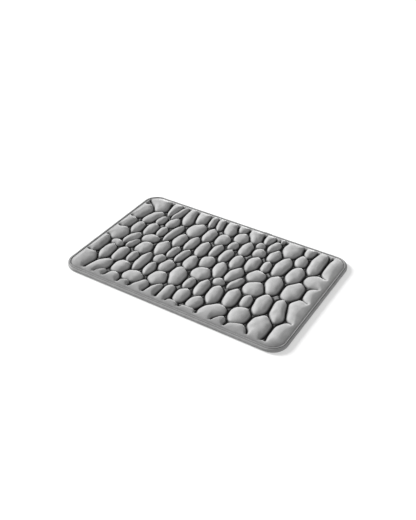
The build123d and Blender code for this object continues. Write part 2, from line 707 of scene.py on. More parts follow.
    def _free_points(self, outlines: list[np.ndarray], step: float, stations: Stations) -> np.ndarray:
        """Scatter points over the channels and the border, clear of every pebble.

        Args:
            outlines: the pebbles' walls.
            step: about how far apart the points are.
            stations: places along the edge, for two rings of points just inside the border.

        Returns:
            The points, as an (n, 2) array.
        """
        draw = np.random.default_rng(23)
        across = np.arange(-self.plan.half_length, self.plan.half_length, step)
        deep = np.arange(-self.plan.half_width, self.plan.half_width, step)
        grid = np.stack(np.meshgrid(across, deep), axis=-1).reshape(-1, 2)
        grid = grid + draw.uniform(-self.free_shake, self.free_shake, grid.shape) * step
        grid = grid[self.plan.inset(grid) > self.border + self.free_inset]
        rings = [stations.ring(self.border + further) for further in self.free_rings]
        points = np.concatenate([grid] + rings)
        clearance = self._beside(points, outlines)[0]
        return points[clearance > self.free_room * step]

    def _beside(self, points: np.ndarray, outlines: list[np.ndarray]) -> tuple[np.ndarray, np.ndarray]:
        """Compare points with the nearest pebble.

        Args:
            points: places, as an (n, 2) array.
            outlines: the pebbles' walls.

        Returns:
            How far each point lies outside the nearest wall, and how far that wall faces along
            the mat there, from 0 to 1.
        """
        clearance = np.full(len(points), 1.0)
        facing = np.zeros(len(points))
        for pebble, outline in enumerate(outlines):
            centre = self.rows[pebble, :2]
            away = points - centre
            search = self.search_share * self.rows[pebble, 2:4].max()
            close = np.flatnonzero(np.hypot(away[:, 0], away[:, 1]) < search)
            if not len(close):
                continue
            angle = np.mod(np.arctan2(away[close, 1], away[close, 0]), math.tau)
            turns = np.arange(len(outline) + 1) * math.tau / len(outline)
            radii = np.hypot(*(outline - centre).T)
            edge = np.interp(angle, turns, np.append(radii, radii[0]))
            inside = np.hypot(away[close, 0], away[close, 1]) < edge
            distance = distance_to_loop(points[close], outline)
            distance = np.where(inside, -distance, distance)
            nearer = distance < clearance[close]
            clearance[close[nearer]] = distance[nearer]
            facing[close[nearer]] = self._facing(points[close[nearer]], pebble)
        return clearance, facing

    def mesh(self, maker: MeshMaker, detail: ReliefDetail, stations: Stations, drop: float) -> np.ndarray:
        """Mesh the whole relief.

        Args:
            maker: takes the points and faces.
            detail: how fine the mesh is.
            stations: places along the edge, used for the relief's outer loop.
            drop: how far below the cover's skin the surface lies.

        Returns:
            The indices of the outer loop, one a station.
        """
        outlines = [self.outline(pebble, detail.outline_step) for pebble in range(len(self.rows))]
        feet = [self.floor(line, self._facing(line, pebble)) for pebble, line in enumerate(outlines)]
        loops = [maker.add(raised(line, self._lowered(foot, drop))) for line, foot in zip(outlines, feet)]
        for pebble, (line, loop) in enumerate(zip(outlines, loops)):
            self._mesh_pebble(maker, detail, pebble, line, loop, drop)
        border = stations.ring(self.border - self.border_lip)
        border_loop = maker.add(raised(border, self._lowered(self.floor(border, 0.0), drop)))
        free = self._free_points(outlines, detail.floor_step, stations)
        clearance, facing = self._beside(free, outlines)
        free_loop = maker.add(raised(free, self._lowered(self.floor(free, facing, clearance), drop)))
        self._mesh_channels(maker, [border] + outlines, [border_loop] + loops, free, free_loop)
        return border_loop

    def _mesh_pebble(self, maker: MeshMaker, detail: ReliefDetail, pebble: int, line: np.ndarray,
                     loop: np.ndarray, drop: float) -> None:
        """Mesh one pebble, from its foot up its wall and over its crown.

        Args:
            maker: takes the points and faces.
            detail: how fine the mesh is.
            pebble: its row.
            line: its wall.
            loop: the indices of the points at the wall's foot.
            drop: how far below the cover's skin the surface lies.
        """
        centre = self.rows[pebble, :2]
        rays = line - centre
        lengths = np.hypot(rays[:, 0], rays[:, 1])
        room = np.minimum(lengths / (self.crowding * detail.shoulder_offsets[-1]), 1.0)
        shares = [1.0 - offset * room / lengths for offset in detail.shoulder_offsets]
        shares += [shares[-1] * share for share in detail.crown_shares]
        middle = centre[None, :]
        girth = distance_to_loop(middle, line)
        outer = loop
        for share in shares:
            points = centre + rays * share[:, None]
            height = self.crown(points, share, distance_to_loop(points, line), pebble, girth[0])
            inner = maker.add(raised(points, self._lowered(height, drop)))
            maker.band(outer, inner)
            outer = inner
        height = self.crown(middle, np.zeros(1), girth, pebble, girth[0])
        top = maker.add(raised(middle, self._lowered(height, drop)))
        maker.fan(outer, int(top[0]))

    @staticmethod
    def _mesh_channels(maker: MeshMaker, lines: list[np.ndarray], loops: list[np.ndarray],
                       free: np.ndarray, free_loop: np.ndarray) -> None:
        """Triangulate the channels and the border between the pebbles' feet.

        Args:
            maker: takes the faces.
            lines: the border's line and then each pebble's wall.
            loops: the indices of those lines' points.
            free: the loose points between them.
            free_loop: the loose points' indices.
        """
        flat = np.concatenate(lines + [free]) / MM
        known = np.concatenate(loops + [free_loop])
        rings = []
        first = 0
        for line in lines:
            rings.append(list(range(first, first + len(line))))
            first += len(line)
        corners, _, triangles, sources, _, owners = delaunay_2d_cdt(
            [Vector(point) for point in flat.tolist()], [], rings, 1, 1e-4)
        for triangle, owner in zip(triangles, owners):
            if any(ring > 0 for ring in owner):
                continue
            face = tuple(int(known[sources[corner][0]]) for corner in triangle)
            spots = [corners[corner] for corner in triangle]
            turn = (spots[1] - spots[0]).cross(spots[2] - spots[0])
            maker.faces.append(face if turn > 0 else face[::-1])


# ---------------------------------------------------------------------------
# Shader building
# ---------------------------------------------------------------------------

def grey(value: float) -> tuple[float, float, float, float]:
    """Give a neutral grey as a colour."""
    return (value, value, value, 1.0)


class Graph:
    """A node tree with short ways to add and join nodes."""

    def __init__(self, tree: bpy.types.NodeTree) -> None:
        """Wrap a node tree.

        Args:
            tree: a material's tree or a node group.
        """
        self.tree = tree

    def feed(self, node: bpy.types.Node, inputs: dict) -> None:
        """Link or set a node's inputs.

        Args:
            node: the node.
            inputs: output sockets to link or values to set, by the input's name or number.
        """
        for key, value in inputs.items():
            socket = node.inputs[key]
            if isinstance(value, bpy.types.NodeSocket):
                self.tree.links.new(value, socket)
            else:
                socket.default_value = value

    def add(self, kind: str, inputs: dict | None = None, **settings: object) -> bpy.types.Node:
        """Add a node.

        Args:
            kind: the node's type name.
            inputs: values or output sockets for its inputs, by name or number.
            settings: the node's own properties.

        Returns:
            The new node.
        """
        node = self.tree.nodes.new(kind)
        for name, value in settings.items():
            setattr(node, name, value)
        self.feed(node, inputs or {})
        return node

    def place(self) -> bpy.types.NodeSocket:
        """Give the place on the object, in metres."""
        return self.add("ShaderNodeTexCoord").outputs["Object"]

    def attribute(self, name: str, output: str) -> bpy.types.NodeSocket:
        """Read one of the mesh's own values."""
        return self.add("ShaderNodeAttribute", attribute_name=name).outputs[output]

    def math(self, operation: str, first: object, second: object = 0.0) -> bpy.types.NodeSocket:
        """Add a Math node and give its output."""
        return self.add("ShaderNodeMath", {0: first, 1: second}, operation=operation).outputs[0]

    def ramp(self, value: object, low: float = 0.0, high: float = 1.0, first: float = 0.0,
             last: float = 1.0) -> bpy.types.NodeSocket:
        """Map a value's span from low to high onto the span from first to last, and no further."""
        inputs = {"Value": value, "From Min": low, "From Max": high, "To Min": first, "To Max": last}
        return self.add("ShaderNodeMapRange", inputs).outputs[0]

    def mix(self, share: object, first: object, second: object, blend: str = "MIX") -> bpy.types.NodeSocket:
        """Blend two colours."""
        inputs = {"Factor": share, "A": first, "B": second}
        return self.add("ShaderNodeMix", inputs, data_type="RGBA", blend_type=blend).outputs["Result"]

    def noise(self, vector: object, scale: object, detail: float = 2.0) -> bpy.types.NodeSocket:
        """Add a Noise node and give its value output."""
        inputs = {"Vector": vector, "Scale": scale, "Detail": detail}
        return self.add("ShaderNodeTexNoise", inputs).outputs["Fac"]

    def cells(self, vector: object, scale: object) -> bpy.types.NodeSocket:
        """Add a Voronoi node and give the distance to each cell's middle."""
        return self.add("ShaderNodeTexVoronoi", {"Vector": vector, "Scale": scale}).outputs["Distance"]

    def bump(self, shader: bpy.types.Node, height: object, distance: float, strength: float = 1.0) -> None:
        """Feed a height to a shader's normal through a Bump node."""
        inputs = {"Height": height, "Distance": distance, "Strength": strength}
        self.feed(shader, {"Normal": self.add("ShaderNodeBump", inputs).outputs[0]})

    def sockets(self, inputs: dict[str, str], outputs: dict[str, str]) -> bpy.types.bpy_prop_collection:
        """Give a node group its sockets.

        Args:
            inputs: the kinds of its inputs, by name.
            outputs: the kinds of its outputs, by name.

        Returns:
            The inputs, as sockets to link from inside the group.
        """
        for way, kinds in (("INPUT", inputs), ("OUTPUT", outputs)):
            for name, kind in kinds.items():
                self.tree.interface.new_socket(name, in_out=way, socket_type=f"NodeSocket{kind}")
        return self.add("NodeGroupInput").outputs


def draw_nap(graph: Graph) -> None:
    """Draw brushed cloth: flecks of fibre, and patches lying one way or the other.

    Args:
        graph: the empty node group.
    """
    given = graph.sockets(
        {"Vector": "Vector", "Dark": "Color", "Light": "Color", "Fleck scale": "Float",
         "Patch scale": "Float"},
        {"Colour": "Color", "Height": "Float", "Roughness": "Float"},
    )
    combed = {0: given["Vector"], 1: (1.0, 0.55, 1.0)}
    combed = graph.add("ShaderNodeVectorMath", combed, operation="MULTIPLY").outputs[0]
    fleck = graph.noise(combed, given["Fleck scale"], 3.0)
    patch = graph.noise(given["Vector"], given["Patch scale"], 1.0)
    blend = graph.math("ADD", graph.math("MULTIPLY", fleck, 0.55), graph.math("MULTIPLY", patch, 0.45))
    colour = graph.mix(graph.ramp(blend, 0.3, 0.7), given["Dark"], given["Light"])
    fibre = graph.math("MULTIPLY", graph.cells(given["Vector"], given["Fleck scale"]), 0.5)
    height = graph.math("ADD", fleck, fibre)
    rough = graph.ramp(fleck, first=0.78, last=0.98)
    graph.add("NodeGroupOutput", {"Colour": colour, "Height": height, "Roughness": rough})


def draw_yarns(graph: Graph) -> None:
    """Draw woven cloth: two sets of yarns that cross, a little unevenly.

    Args:
        graph: the empty node group.
    """
    given = graph.sockets(
        {"Vector": "Vector", "Pitch": "Float", "Slant": "Float"},
        {"Height": "Float", "Over": "Float"},
    )
    turns = graph.math("DIVIDE", math.tau, given["Pitch"])
    parts = graph.add("ShaderNodeSeparateXYZ", {0: given["Vector"]}).outputs
    slanted = graph.math("ADD", parts["X"], graph.math("MULTIPLY", parts["Y"], given["Slant"]))
    sway = graph.math("MULTIPLY", graph.noise(given["Vector"], 140.0, 1.0), 1.6)
    warp = graph.math("SINE", graph.math("ADD", graph.math("MULTIPLY", slanted, turns), sway))
    weft = graph.math("SINE", graph.math("ADD", graph.math("MULTIPLY", parts["Y"], turns), sway))
    crossing = graph.math("MULTIPLY", warp, weft)
    height = graph.add("ShaderNodeMath", {0: crossing, 1: 0.5, 2: 0.5}, operation="MULTIPLY_ADD")
    over = graph.ramp(crossing, -0.6, 0.6)
    graph.add("NodeGroupOutput", {"Height": height.outputs[0], "Over": over})


class SharedEffect(Enum):
    """The node groups that more than one material uses."""

    NAP = "Brushed nap"
    YARN = "Crossing yarns"

    def use(self, graph: Graph, inputs: dict) -> bpy.types.bpy_prop_collection:
        """Put the effect in a material.

        Args:
            graph: the material's tree.
            inputs: values or output sockets for the effect's inputs, by name.

        Returns:
            The effect's outputs. Its node group is built on first use.
        """
        if self.value not in bpy.data.node_groups:
            draw = draw_nap if self is SharedEffect.NAP else draw_yarns
            draw(Graph(bpy.data.node_groups.new(self.value, "ShaderNodeTree")))
        group = bpy.data.node_groups[self.value]
        return graph.add("ShaderNodeGroup", inputs, node_tree=group).outputs


@dataclass(frozen=True)
class Finish:
    """What every finish has: a name and a way to make its material."""

    name: str

    def material(self) -> bpy.types.Material:
        """Make the material.

        Returns:
            A material with nodes, named for the finish.
        """
        made = bpy.data.materials.new(self.name)
        made.use_nodes = True
        made.node_tree.nodes.clear()
        graph = Graph(made.node_tree)
        shader = graph.add("ShaderNodeBsdfPrincipled")
        graph.add("ShaderNodeOutputMaterial", {"Surface": shader.outputs[0]})
        self.paint(graph, shader)
        return made

    def paint(self, graph: Graph, shader: bpy.types.Node) -> None:
        """Feed the shader's inputs; each finish does this its own way."""
        raise NotImplementedError


@dataclass(frozen=True)
class PlushFinish(Finish):
    """Short dense pile. Painted shade darkens it to near black low in the channels, so it stays lighter on
    the crowns.

    Along the left and the near border, painted shade darkens the cloth further.
    """

    dark: float = 0.195
    light: float = 0.295
    # Painted shade in the channels: the near-black colour there, and the heights over which it fades into the
    # nap's colour.
    pressed: float = 0.006
    channel_shade_levels: tuple[float, float] = (7.2 * MM, 12.6 * MM)
    # Painted shade along the left and the near border: how dark it gets, the spans of x and y over which it
    # gives way, and how far its edge wanders.
    border_shade: float = 0.70
    border_shade_left: tuple[float, float] = (-322 * MM, -262 * MM)
    border_shade_near: tuple[float, float] = (-202 * MM, -168 * MM)
    border_shade_wander: float = 24 * MM
    fleck_scale: float = 950.0
    patch_scale: float = 42.0

    def paint(self, graph: Graph, shader: bpy.types.Node) -> None:
        """Brush the nap over the whole cloth, paint shade along the left and the near border, and paint shade
        low in the channels.

        Args:
            graph: the material's tree.
            shader: its surface.
        """
        place = graph.place()
        nap = SharedEffect.NAP.use(graph, {
            "Vector": place, "Dark": grey(self.dark), "Light": grey(self.light),
            "Fleck scale": self.fleck_scale, "Patch scale": self.patch_scale,
        })
        parts = graph.add("ShaderNodeSeparateXYZ", {0: place}).outputs
        # Painted shade along the left and the near border, with a wandering edge; it multiplies the nap's
        # colour.
        wander = graph.math("MULTIPLY", graph.noise(place, 30.0), self.border_shade_wander)
        left = graph.ramp(graph.math("ADD", parts["X"], wander), *self.border_shade_left)
        near = graph.ramp(graph.math("ADD", parts["Y"], wander), *self.border_shade_near)
        shade = graph.mix(graph.math("MULTIPLY", left, near), grey(self.border_shade), grey(1.0))
        brushed = graph.mix(1.0, nap["Colour"], shade, "MULTIPLY")
        # Painted shade: low in the channels the colour goes over to near black.
        colour = graph.mix(graph.ramp(parts["Z"], *self.channel_shade_levels), grey(self.pressed), brushed)
        graph.feed(shader, {
            "Base Color": colour, "Roughness": nap["Roughness"], "Specular IOR Level": 0.2,
            "Sheen Weight": 0.9, "Sheen Roughness": 0.35,
        })
        graph.bump(shader, nap["Height"], 0.35 * MM, 0.7)


@dataclass(frozen=True)
class TapeFinish(Finish):
    """Fine twill tape with a soft brushed face, and painted shade in its stitch grooves and along its hem."""

    dark: float = 0.19
    light: float = 0.245
    # Painted shade: the colour in the stitch grooves and along the hem.
    seam: float = 0.03
    yarn_pitch: float = 0.9 * MM
    fleck_scale: float = 1300.0
    patch_scale: float = 60.0

    def paint(self, graph: Graph, shader: bpy.types.Node) -> None:
        """Lay a twill along the tape, brush it, and paint shade into its stitch grooves and along its hem.

        Args:
            graph: the material's tree.
            shader: its surface.
        """
        yarn = SharedEffect.YARN.use(graph, {
            "Vector": graph.attribute("cloth", "Vector"), "Pitch": self.yarn_pitch, "Slant": 1.0,
        })
        nap = SharedEffect.NAP.use(graph, {
            "Vector": graph.place(), "Dark": grey(self.dark), "Light": grey(self.light),
            "Fleck scale": self.fleck_scale, "Patch scale": self.patch_scale,
        })
        shade = graph.mix(yarn["Over"], grey(0.9), grey(1.0))
        tinted = graph.mix(1.0, nap["Colour"], shade, "MULTIPLY")
        # Painted shade in the stitch grooves and along the hem, as the mesh's seam values give it.
        colour = graph.mix(graph.attribute("seam", "Fac"), tinted, grey(self.seam))
        graph.feed(shader, {
            "Base Color": colour, "Roughness": nap["Roughness"], "Specular IOR Level": 0.25,
            "Sheen Weight": 0.15, "Sheen Roughness": 0.5,
        })
        height = graph.math("ADD", yarn["Height"], graph.math("MULTIPLY", nap["Height"], 0.4))
        graph.bump(shader, height, 0.18 * MM, 0.8)


@dataclass(frozen=True)
class BackingFinish(Finish):
    """Plain-woven backing cloth, slightly faded in patches."""

    colour: float = 0.34
    yarn_pitch: float = 1.4 * MM

    def paint(self, graph: Graph, shader: bpy.types.Node) -> None:
        """Weave the yarns and fade them in patches.

        Args:
            graph: the material's tree.
            shader: its surface.
        """
        place = graph.place()
        yarn = SharedEffect.YARN.use(graph, {"Vector": place, "Pitch": self.yarn_pitch, "Slant": 0.0})
        faded = graph.mix(graph.noise(place, 18.0), grey(self.colour * 0.9), grey(self.colour * 1.12))
        colour = graph.mix(yarn["Over"], grey(self.colour * 0.72), faded)
        rough = graph.ramp(yarn["Height"], first=0.95, last=0.8)
        graph.feed(shader, {"Base Color": colour, "Roughness": rough, "Specular IOR Level": 0.2})
        graph.bump(shader, yarn["Height"], 0.3 * MM)


@dataclass(frozen=True)
class ThreadFinish(Finish):
    """Twisted sewing thread, a little darker than the cloth."""

    colour: float = 0.16
    twist_pitch: float = 0.8 * MM

    def paint(self, graph: Graph, shader: bpy.types.Node) -> None:
        """Twist the plies along each stitch.

        Args:
            graph: the material's tree.
            shader: its surface.
        """
        along = graph.attribute("cloth", "Vector")
        plies = SharedEffect.YARN.use(graph, {"Vector": along, "Pitch": self.twist_pitch, "Slant": 1.5})
        colour = graph.mix(plies["Over"], grey(self.colour * 0.7), grey(self.colour * 1.25))
        rough = graph.ramp(plies["Over"], first=0.8, last=0.62)
        graph.feed(shader, {"Base Color": colour, "Roughness": rough, "Specular IOR Level": 0.2})
        graph.bump(shader, plies["Height"], 0.12 * MM)


@dataclass(frozen=True)
class FoamFinish(Finish):
    """Open-cell memory foam, cream and finely pitted."""

    pit: tuple[float, float, float, float] = (0.62, 0.57, 0.45, 1.0)
    yellowed: tuple[float, float, float, float] = (0.80, 0.75, 0.62, 1.0)
    fresh: tuple[float, float, float, float] = (0.88, 0.86, 0.79, 1.0)
    cell_scale: float = 1400.0

    def paint(self, graph: Graph, shader: bpy.types.Node) -> None:
        """Pit the foam with cells and yellow it unevenly.

        Args:
            graph: the material's tree.
            shader: its surface.
        """
        place = graph.place()
        cells = graph.cells(place, self.cell_scale)
        aged = graph.mix(graph.noise(place, 12.0), self.yellowed, self.fresh)
        colour = graph.mix(graph.ramp(cells, high=0.35), self.pit, aged)
        graph.feed(shader, {"Base Color": colour, "Roughness": graph.ramp(cells, first=0.95, last=0.8)})
        graph.bump(shader, cells, 0.3 * MM)


@dataclass(frozen=True)
class GripFinish(Finish):
    """Soft moulded dots with a faintly mottled, satin skin."""

    colour: float = 0.16
    mottle_scale: float = 260.0

    def paint(self, graph: Graph, shader: bpy.types.Node) -> None:
        """Mottle the skin and scuff it unevenly.

        Args:
            graph: the material's tree.
            shader: its surface.
        """
        cloud = graph.noise(graph.place(), self.mottle_scale, 3.0)
        colour = graph.mix(cloud, grey(self.colour * 0.85), grey(self.colour * 1.2))
        graph.feed(shader, {"Base Color": colour, "Roughness": graph.ramp(cloud, first=0.38, last=0.6)})
        graph.bump(shader, cloud, 0.1 * MM)


# ---------------------------------------------------------------------------
# The pieces
# ---------------------------------------------------------------------------

def settle(piece: bpy.types.Object, node: str, finish: Finish) -> None:
    """Dress a finished piece and tie it to the frame.

    Args:
        piece: the piece.
        node: the CAD node that it stands for.
        finish: the finish that it wears.
    """
    piece.data.materials.append(finish.material())
    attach(piece, BODY)
    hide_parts(node)


@dataclass
class PlushCover:
    """The pile cloth that is moulded over the foam and held by the binding."""

    plan: MatPlan
    relief: PebbleRelief
    spacing: float = 4.0 * MM
    tuck_gap: float = 1.2 * MM
    tuck_insets: tuple[float, float] = (10.2 * MM, 9.4 * MM)
    edge_drop: float = 0.3 * MM

    def build(self) -> bpy.types.Object:
        """Mesh the relief, roll it down under the tape and dress it.

        Returns:
            The piece.
        """
        maker = MeshMaker("Plush_cover")
        stations = self.plan.even_stations(self.spacing)
        inner = self.relief.mesh(maker, FINE_RELIEF, stations, 0.0)
        tuck = self.plan.tape_height - self.plan.tape_thickness - self.tuck_gap
        profile = [(inset, tuck) for inset in self.tuck_insets]
        profile.append((self.plan.layer_inset, tuck - self.edge_drop))
        maker.skirt(stations, profile, inner)
        piece = maker.build()
        settle(piece, "plush_cover", PlushFinish("Grey plush"))
        cut = self.plan.cut(self.plan.layer_inset)
        return piece


@dataclass
class FoamCore:
    """The foam under the cover, which follows it a few millimetres below its skin."""

    plan: MatPlan
    relief: PebbleRelief
    spacing: float = 8.0 * MM
    shoulder_height: float = 7.6 * MM
    shoulder_inset: float = 0.8 * MM
    side_heights: tuple[float, float] = (7.0 * MM, 3.0 * MM)
    foot_inset: float = 0.6 * MM

    def build(self) -> bpy.types.Object:
        """Mesh the relief, close its border and its flat underside, and dress it.

        Returns:
            The piece.
        """
        maker = MeshMaker("Foam_core")
        stations = self.plan.even_stations(self.spacing)
        inner = self.relief.mesh(maker, COARSE_RELIEF, stations, self.plan.foam_drop)
        side = self.plan.layer_inset
        profile = [(side + self.shoulder_inset, self.shoulder_height)]
        profile += [(side, height) for height in self.side_heights]
        profile.append((side + self.foot_inset, self.plan.foam_bottom))
        foot = maker.skirt(stations, profile, inner)
        maker.cap(foot[::-1])
        piece = maker.build()
        settle(piece, "foam_core", FoamFinish("Cream foam"))
        return piece


@dataclass
class BackingCloth:
    """The flat woven cloth under the foam."""

    plan: MatPlan
    inset: float = 4.0 * MM
    low: float = 1.0 * MM
    high: float = 2.0 * MM
    bevel_inset: float = 0.4 * MM
    bevel_drop: float = 0.3 * MM
    spacing: float = 6.0 * MM

    def build(self) -> bpy.types.Object:
        """Mesh a thin closed sheet and dress it.

        Returns:
            The piece.
        """
        maker = MeshMaker("Backing_cloth")
        stations = self.plan.even_stations(self.spacing)
        face = maker.add(raised(stations.ring(self.inset + self.bevel_inset), self.high))
        profile = [
            (self.inset, self.high - self.bevel_drop), (self.inset, self.low + self.bevel_drop),
            (self.inset + self.bevel_inset, self.low),
        ]
        underside = maker.skirt(stations, profile, face)
        maker.cap(face)
        maker.cap(underside[::-1])
        piece = maker.build()
        settle(piece, "backing_cloth", BackingFinish("Woven backing"))
        cut = self.plan.cut(self.inset)
        return piece


# A grip dot's rings from its base to near its tip: shares of its radius and of its height.
DOT_PROFILE = ((1.0, 1.0), (0.99, 0.6), (0.92, 0.28), (0.75, 0.07), (0.4, 0.01))


@dataclass
class GripDots:
    """Low domes of soft plastic printed on the backing, in staggered rows."""

    radius: float = 3.5 * MM
    height: float = 1.0 * MM
    pitch: float = 40.0 * MM
    columns: int = 16
    rows: int = 10
    sides: int = 20

    def _places(self) -> list[np.ndarray]:
        """List the dots' centres: a straight grid, and a smaller one between its rows.

        Returns:
            The centres.
        """
        places = []
        for columns, rows in ((self.columns, self.rows), (self.columns - 1, self.rows - 1)):
            middle = np.array([columns - 1, rows - 1]) / 2
            for column in range(columns):
                places += [self.pitch * (np.array([column, row]) - middle) for row in range(rows)]
        return places

    def build(self) -> bpy.types.Object:
        """Mesh every dome and dress them.

        Returns:
            The piece.
        """
        maker = MeshMaker("Grip_dots")
        turn = np.arange(self.sides) * math.tau / self.sides
        circle = np.column_stack([np.cos(turn), np.sin(turn)])
        for centre in self._places():
            loops = []
            for share, level in DOT_PROFILE:
                loops.append(maker.add(raised(centre + circle * self.radius * share, self.height * level)))
            tip = maker.add(raised(centre[None, :], 0.0))
            for upper, lower in zip(loops, loops[1:]):
                maker.band(lower, upper)
            maker.fan(loops[-1][::-1], int(tip[0]))
            maker.cap(loops[0])
        piece = maker.build()
        settle(piece, "grip_dots", GripFinish("Grip dots"))
        return piece


# The tape's unevenness along the mat, as waves: share of the whole, turns round the mat, start.
TAPE_RIPPLES = ((0.5, 41, 0.0), (0.3, 97, 1.3), (0.2, 163, 0.4))


@dataclass
class EdgeBinding:
    """The tape that is folded round the edge and pulled down by two rows of stitches."""

    plan: MatPlan
    top_round: float = 5.5 * MM
    bottom_round: float = 4.0 * MM
    leg_steps: int = 26
    bottom_steps: int = 8
    top_steps: int = 14
    inner_lines: int = 30
    groove: float = 1.1 * MM
    groove_width: float = 0.8 * MM
    puff: float = 0.6 * MM
    puff_power: float = 0.8
    swell: float = 0.25 * MM
    swell_level: float = 0.45
    swell_width: float = 4 * MM
    swell_inset: float = 3 * MM
    hem_pinch: float = 0.5 * MM
    hem_width: float = 1.0 * MM
    # Painted shade along the hem: the span it fades over and how dark it gets; then how sharply the painted
    # shade in the stitch grooves falls off.
    hem_shadow: tuple[float, float] = (0.9 * MM, 0.2 * MM)
    hem_shade: float = 0.3
    seam_shade_power: float = 1.2
    flat_height: float = 0.8 * MM
    still_height: float = 2 * MM
    ripple: float = 0.22 * MM
    spacing: float = 4.2 * MM
    lap_start: float = 1.02
    lap_length: float = 26 * MM
    lap_lift: float = 0.8 * MM
    lap_edge: float = 0.4 * MM
    lap_steps: tuple[float, ...] = (-0.9 * MM, -0.3 * MM, 0.3 * MM, 0.9 * MM)

    def _line(self) -> tuple[np.ndarray, np.ndarray]:
        """Draw the folded tape's outer line, from the bottom leg's edge round to the top leg's.

        Returns:
            The points as (inset, height), and the way out of the tape at each.
        """
        height = self.plan.tape_height
        bottom_run = np.linspace(self.plan.tape_bottom_leg, self.bottom_round, self.leg_steps)
        top_run = np.linspace(self.top_round, self.plan.tape_top_leg, self.leg_steps)[1:]
        line = [(inset, 0.0) for inset in bottom_run]
        way = [(0.0, -1.0)] * len(bottom_run)
        for turn in np.linspace(0.0, math.pi / 2, self.bottom_steps)[1:]:
            away, up = 1 - math.sin(turn), 1 - math.cos(turn)
            way.append((-math.sin(turn), -math.cos(turn)))
            line.append((self.bottom_round * away, self.bottom_round * up))
        for turn in np.linspace(0.0, math.pi / 2, self.top_steps):
            away, down = 1 - math.cos(turn), 1 - math.sin(turn)
            way.append((-math.cos(turn), math.sin(turn)))
            line.append((self.top_round * away, height - self.top_round * down))
        line += [(inset, height) for inset in top_run]
        way += [(0.0, 1.0)] * len(top_run)
        return np.array(line), np.array(way)

    def _upper(self, line: np.ndarray) -> np.ndarray:
        """Tell which places of the line are on its upper half."""
        return line[:, 1] > self.plan.tape_height / 2

    def _hem(self, line: np.ndarray, start: float, end: float) -> np.ndarray:
        """Rise from 0 to 1 towards the top leg's edge, between two distances from it."""
        return smooth_step(start, end, self.plan.tape_top_leg - line[:, 0]) * self._upper(line)

    def _pull(self, line: np.ndarray) -> np.ndarray:
        """Tell how strongly the two rows of stitches pull on the line.

        Args:
            line: the line's points.

        Returns:
            A share from 0 to 1 for each.
        """
        flat = (line[:, 1] < self.flat_height) | self._upper(line)
        offsets = [(line[:, 0] - row) / self.groove_width for row in self.plan.stitch_insets]
        return flat * sum(np.exp(-(offset**2)) for offset in offsets)

    def _shape(self, line: np.ndarray) -> np.ndarray:
        """Tell how far the stitches pull the tape in and the filling puffs it out.

        Args:
            line: the line's points.

        Returns:
            How far each is pushed out of the tape.
        """
        inset, height = line[:, 0], line[:, 1]
        outer_row, inner_row = self.plan.stitch_insets
        between = np.clip((inset - outer_row) / (inner_row - outer_row), 0.0, 1.0)
        puff = np.sin(math.pi * between) ** self.puff_power * self._upper(line)
        away = (height - self.swell_level * self.plan.tape_height) / self.swell_width
        swell = np.exp(-(away**2)) * (inset < self.swell_inset)
        hem = self._hem(line, self.hem_width, 0.0)
        return -self.groove * self._pull(line) + self.puff * puff + self.swell * swell - self.hem_pinch * hem

    def _lift(self, travelled: np.ndarray) -> np.ndarray:
        """Tell how far the tape stands proud along the mat, in its ripples and at its lap.

        Args:
            travelled: distances along the edge.

        Returns:
            How far it is pushed out at each.
        """
        cycle = math.tau * travelled / self.plan.perimeter
        ripple = sum(share * np.sin(turns * cycle + start) for share, turns, start in TAPE_RIPPLES)
        rise = smooth_step(-self.lap_edge, self.lap_edge, travelled - self.lap_start)
        fall = smooth_step(-self.lap_edge, self.lap_edge, self.lap_start + self.lap_length - travelled)
        return ripple * self.ripple + rise * fall * self.lap_lift

    def build(self) -> bpy.types.Object:
        """Sweep the folded tape round the mat, with its lap at the back, and dress it.

        Returns:
            The piece.
        """
        maker = MeshMaker("Edge_binding")
        even = np.arange(round(self.plan.perimeter / self.spacing)) * self.spacing
        lap_ends = (self.lap_start, self.lap_start + self.lap_length)
        extra = [end + step for end in lap_ends for step in self.lap_steps]
        stations = self.plan.stations(np.unique(np.concatenate([even, extra])))
        line, way = self._line()
        run = np.concatenate([[0.0], np.cumsum(np.hypot(*np.diff(line, axis=0).T))])
        shape = self._shape(line)
        lift = self._lift(stations.travelled)
        above = np.clip(line[:, 1] / self.still_height, 0.0, 1.0)
        # Painted shade for the tape's colour, in the stitch grooves and along the hem.
        hem = self._hem(line, *self.hem_shadow)
        seam = np.maximum(self._pull(line) ** self.seam_shade_power, self.hem_shade * hem)
        loops = []
        for point in range(len(line)):
            push = shape[point] + lift * above[point]
            cloth = (run[point], seam[point])
            loops.append(self._loop(maker, stations, line[point], way[point], push, cloth))
        for point in np.linspace(len(line) - 1, 0, self.inner_lines).round().astype(int):
            # The inner layer takes painted shade near the hem only.
            push = np.full(len(lift), min(shape[point], 0.0) - self.plan.tape_thickness)
            cloth = (run[point], hem[point])
            loops.append(self._loop(maker, stations, line[point], way[point], push, cloth))
        for first, second in zip(loops, loops[1:] + loops[:1]):
            maker.band(first, second)
        piece = maker.build()
        settle(piece, "edge_binding", TapeFinish("Grey twill tape"))
        return piece

    @staticmethod
    def _loop(maker: MeshMaker, stations: Stations, spot: np.ndarray, way: np.ndarray,
              push: np.ndarray, cloth_place: tuple[float, float]) -> np.ndarray:
        """Add one lengthwise line of the tape.

        Args:
            maker: takes the points.
            stations: places along the mat's edge.
            spot: the line's inset and height.
            way: the way out of the tape there.
            push: how far it is pushed that way at each station.
            cloth_place: how far across the cloth it lies, and how dark the painted shade of the seams and the
                hem makes it.

        Returns:
            The new points' indices.
        """
        across, seam = cloth_place
        inset = spot[0] + way[0] * push
        flat = stations.edge - stations.outward * inset[:, None]
        height = spot[1] + way[1] * push
        cloth = np.column_stack([stations.travelled, np.full(len(push), across), np.zeros(len(push))])
        return maker.add(np.column_stack([flat, height]), cloth=cloth, seam=np.full(len(push), seam))


class SeamSide(Enum):
    """The side of the mat that a seam's threads lie on."""

    TOP = "top"
    BOTTOM = "bottom"


